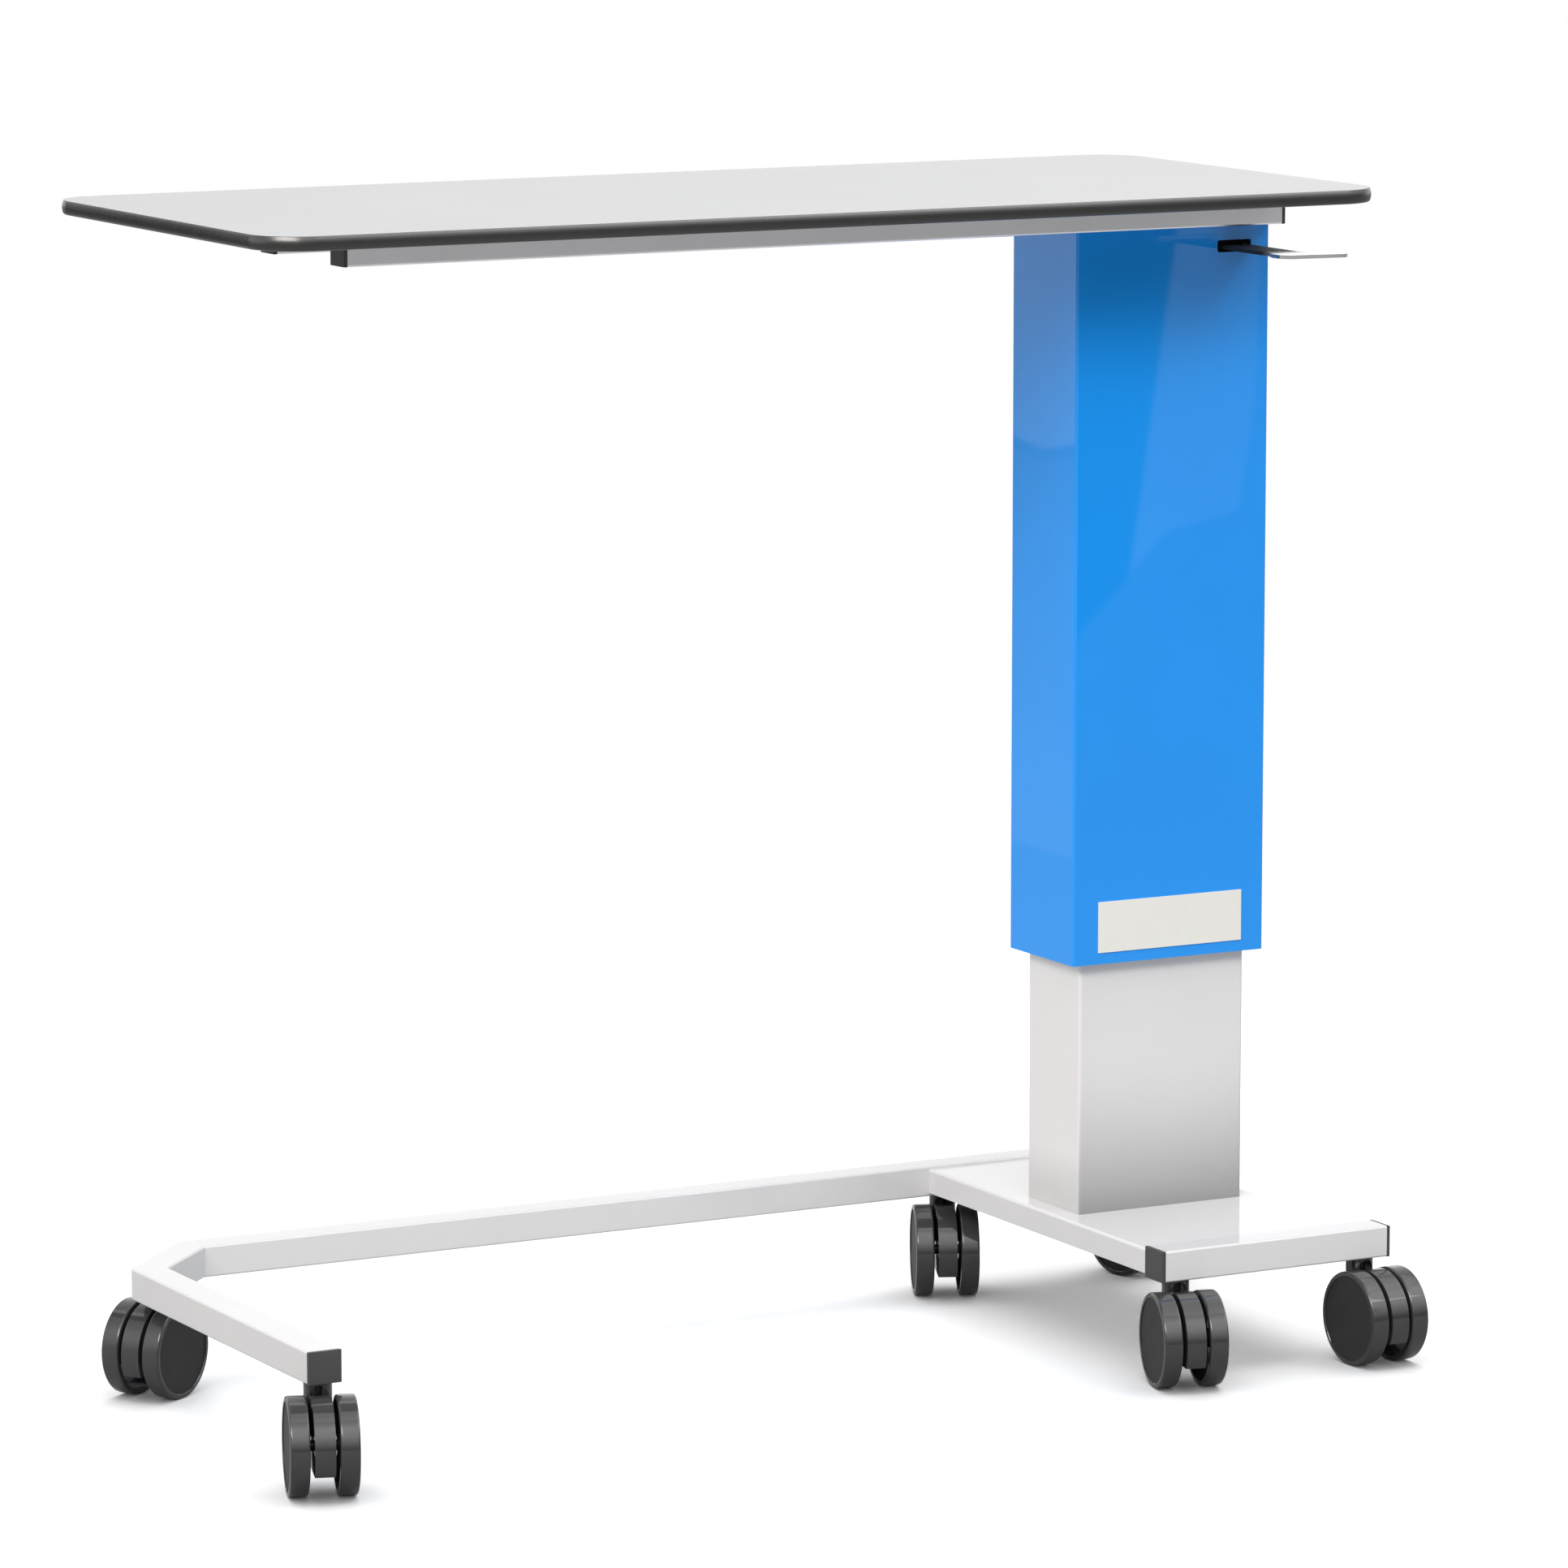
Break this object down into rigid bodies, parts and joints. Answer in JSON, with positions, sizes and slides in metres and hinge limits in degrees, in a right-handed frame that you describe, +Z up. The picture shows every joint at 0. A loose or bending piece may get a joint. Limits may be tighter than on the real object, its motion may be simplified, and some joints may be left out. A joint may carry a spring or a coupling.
{
  "type": "overbed table",
  "caption": "Height-adjustable overbed table: long top on two rails, telescopic column and C-shaped base on twin-wheel casters.",
  "frame": {"origin": "on the floor, under the middle of the whole table", "axes": "+Z up, +X along the tabletop towards the column, +Y to the rear, away from the open side of the base"},
  "size_m": [0.992, 0.4616, 0.9295],
  "materials": {
    "laminate": "satin white high-pressure laminate",
    "edge_moulding": "dark grey moulded edge, semi-gloss",
    "board_core": "raw particle board",
    "rail_paint": "light grey powder coat, satin",
    "cap_plastic": "black moulded plastic",
    "sleeve_paint": "bright blue powder coat, semi-gloss",
    "column_paint": "white powder coat, satin",
    "base_paint": "white powder coat, gloss",
    "glide_plastic": "natural acetal",
    "label": "bare off-white plate",
    "lever_chrome": "polished",
    "rod_chrome": "hard chrome, ground",
    "spring_black": "black paint",
    "steel": "zinc plated",
    "bare_steel": "plain steel",
    "caster_plastic": "dark grey moulded nylon, glossy"
  },
  "bodies": {
    "base": {"gas_cylinder": "spring_black", "gas_gland": "spring_black", "column": "column_paint", "column_glides": "glide_plastic", "column_foot": "bare_steel", "foot_bolts": "steel", "base_pan": "base_paint", "base_bars": "bare_steel", "front_tube": "base_paint", "rear_tube": "base_paint", "corner_tube": "base_paint", "foot_tube": "base_paint", "tube_end_caps": "cap_plastic", "caster_stems": "steel", "base_nuts": "steel"},
    "upper": {"tabletop_board": "board_core", "tabletop_laminate": "laminate", "tabletop_edge": "edge_moulding", "tabletop_screws": "steel", "front_rail": "rail_paint", "rear_rail": "rail_paint", "rail_end_caps": "cap_plastic", "rail_bolts": "steel", "rail_inserts": "steel", "sleeve": "sleeve_paint", "sleeve_glides": "glide_plastic", "label_plate": "label", "head_bracket": "bare_steel", "piston_rod": "rod_chrome", "piston": "bare_steel", "rod_nut": "steel"},
    "lever": {"release_lever": "lever_chrome", "lever_shaft": "steel", "lever_finger": "steel", "shaft_clips": "bare_steel"},
    "release_pin": {"release_pin": "steel"},
    "caster_1": {"hood_1": "caster_plastic", "axle_1": "steel"},
    "left_wheel_1": {"left_wheel_1": "caster_plastic"},
    "right_wheel_1": {"right_wheel_1": "caster_plastic"},
    "caster_2": {"hood_2": "caster_plastic", "axle_2": "steel"},
    "left_wheel_2": {"left_wheel_2": "caster_plastic"},
    "right_wheel_2": {"right_wheel_2": "caster_plastic"},
    "caster_3": {"hood_3": "caster_plastic", "axle_3": "steel"},
    "left_wheel_3": {"left_wheel_3": "caster_plastic"},
    "right_wheel_3": {"right_wheel_3": "caster_plastic"},
    "caster_4": {"hood_4": "caster_plastic", "axle_4": "steel"},
    "left_wheel_4": {"left_wheel_4": "caster_plastic"},
    "right_wheel_4": {"right_wheel_4": "caster_plastic"},
    "caster_5": {"hood_5": "caster_plastic", "axle_5": "steel"},
    "left_wheel_5": {"left_wheel_5": "caster_plastic"},
    "right_wheel_5": {"right_wheel_5": "caster_plastic"},
    "caster_6": {"hood_6": "caster_plastic", "axle_6": "steel"},
    "left_wheel_6": {"left_wheel_6": "caster_plastic"},
    "right_wheel_6": {"right_wheel_6": "caster_plastic"}
  },
  "joints": [
    {"name": "height_slide", "type": "slide", "parent": "base", "child": "upper", "axis": [0, 0, 1], "range_m": [-0.195, 0.185]},
    {"name": "lever_pull", "type": "hinge", "parent": "upper", "child": "lever", "pos_m": [0.36108, -0.00616, 0.874], "axis": [-1, 0, 0], "range_deg": [0, 8], "stiffness_Nm_per_rad": 1, "springref_deg": -17.19},
    {"name": "pin_press", "type": "slide", "parent": "upper", "child": "release_pin", "axis": [0, 0, 1], "range_m": [-0.004, 0]},
    {"name": "swivel_1", "type": "hinge", "parent": "base", "child": "caster_1", "pos_m": [-0.45142, -0.16466, 0.075], "axis": [0, 0, 1], "continuous": true},
    {"name": "left_spin_1", "type": "hinge", "parent": "caster_1", "child": "left_wheel_1", "pos_m": [-0.45943, -0.18729, 0.0375], "axis": [0.9426, -0.3338, 0], "continuous": true},
    {"name": "right_spin_1", "type": "hinge", "parent": "caster_1", "child": "right_wheel_1", "pos_m": [-0.45943, -0.18729, 0.0375], "axis": [0.9426, -0.3338, 0], "continuous": true},
    {"name": "swivel_2", "type": "hinge", "parent": "base", "child": "caster_2", "pos_m": [0.28808, -0.16466, 0.075], "axis": [0, 0, 1], "continuous": true},
    {"name": "left_spin_2", "type": "hinge", "parent": "caster_2", "child": "left_wheel_2", "pos_m": [0.28207, -0.1879, 0.0375], "axis": [0.9681, -0.2504, 0], "continuous": true},
    {"name": "right_spin_2", "type": "hinge", "parent": "caster_2", "child": "right_wheel_2", "pos_m": [0.28207, -0.1879, 0.0375], "axis": [0.9681, -0.2504, 0], "continuous": true},
    {"name": "swivel_3", "type": "hinge", "parent": "base", "child": "caster_3", "pos_m": [0.45808, -0.16466, 0.075], "axis": [0, 0, 1], "continuous": true},
    {"name": "left_spin_3", "type": "hinge", "parent": "caster_3", "child": "left_wheel_3", "pos_m": [0.4585, -0.18866, 0.0375], "axis": [0.9998, 0.0175, 0], "continuous": true},
    {"name": "right_spin_3", "type": "hinge", "parent": "caster_3", "child": "right_wheel_3", "pos_m": [0.4585, -0.18866, 0.0375], "axis": [0.9998, 0.0175, 0], "continuous": true},
    {"name": "swivel_4", "type": "hinge", "parent": "base", "child": "caster_4", "pos_m": [0.45808, 0.20834, 0.075], "axis": [0, 0, 1], "continuous": true},
    {"name": "left_spin_4", "type": "hinge", "parent": "caster_4", "child": "left_wheel_4", "pos_m": [0.46307, 0.18486, 0.0375], "axis": [0.9781, 0.2079, 0], "continuous": true},
    {"name": "right_spin_4", "type": "hinge", "parent": "caster_4", "child": "right_wheel_4", "pos_m": [0.46307, 0.18486, 0.0375], "axis": [0.9781, 0.2079, 0], "continuous": true},
    {"name": "swivel_5", "type": "hinge", "parent": "base", "child": "caster_5", "pos_m": [0.28808, 0.20834, 0.075], "axis": [0, 0, 1], "continuous": true},
    {"name": "left_spin_5", "type": "hinge", "parent": "caster_5", "child": "left_wheel_5", "pos_m": [0.27813, 0.1865, 0.0375], "axis": [0.91, -0.4147, 0], "continuous": true},
    {"name": "right_spin_5", "type": "hinge", "parent": "caster_5", "child": "right_wheel_5", "pos_m": [0.27813, 0.1865, 0.0375], "axis": [0.91, -0.4147, 0], "continuous": true},
    {"name": "swivel_6", "type": "hinge", "parent": "base", "child": "caster_6", "pos_m": [-0.41942, 0.17634, 0.075], "axis": [0, 0, 1], "continuous": true},
    {"name": "left_spin_6", "type": "hinge", "parent": "caster_6", "child": "left_wheel_6", "pos_m": [-0.43932, 0.16292, 0.0375], "axis": [0.5592, -0.829, 0], "continuous": true},
    {"name": "right_spin_6", "type": "hinge", "parent": "caster_6", "child": "right_wheel_6", "pos_m": [-0.43932, 0.16292, 0.0375], "axis": [0.5592, -0.829, 0], "continuous": true}
  ],
  "couplings": [
    {"joint": "pin_press", "follows": "lever_pull", "m_per_rad": -0.028}
  ]
}
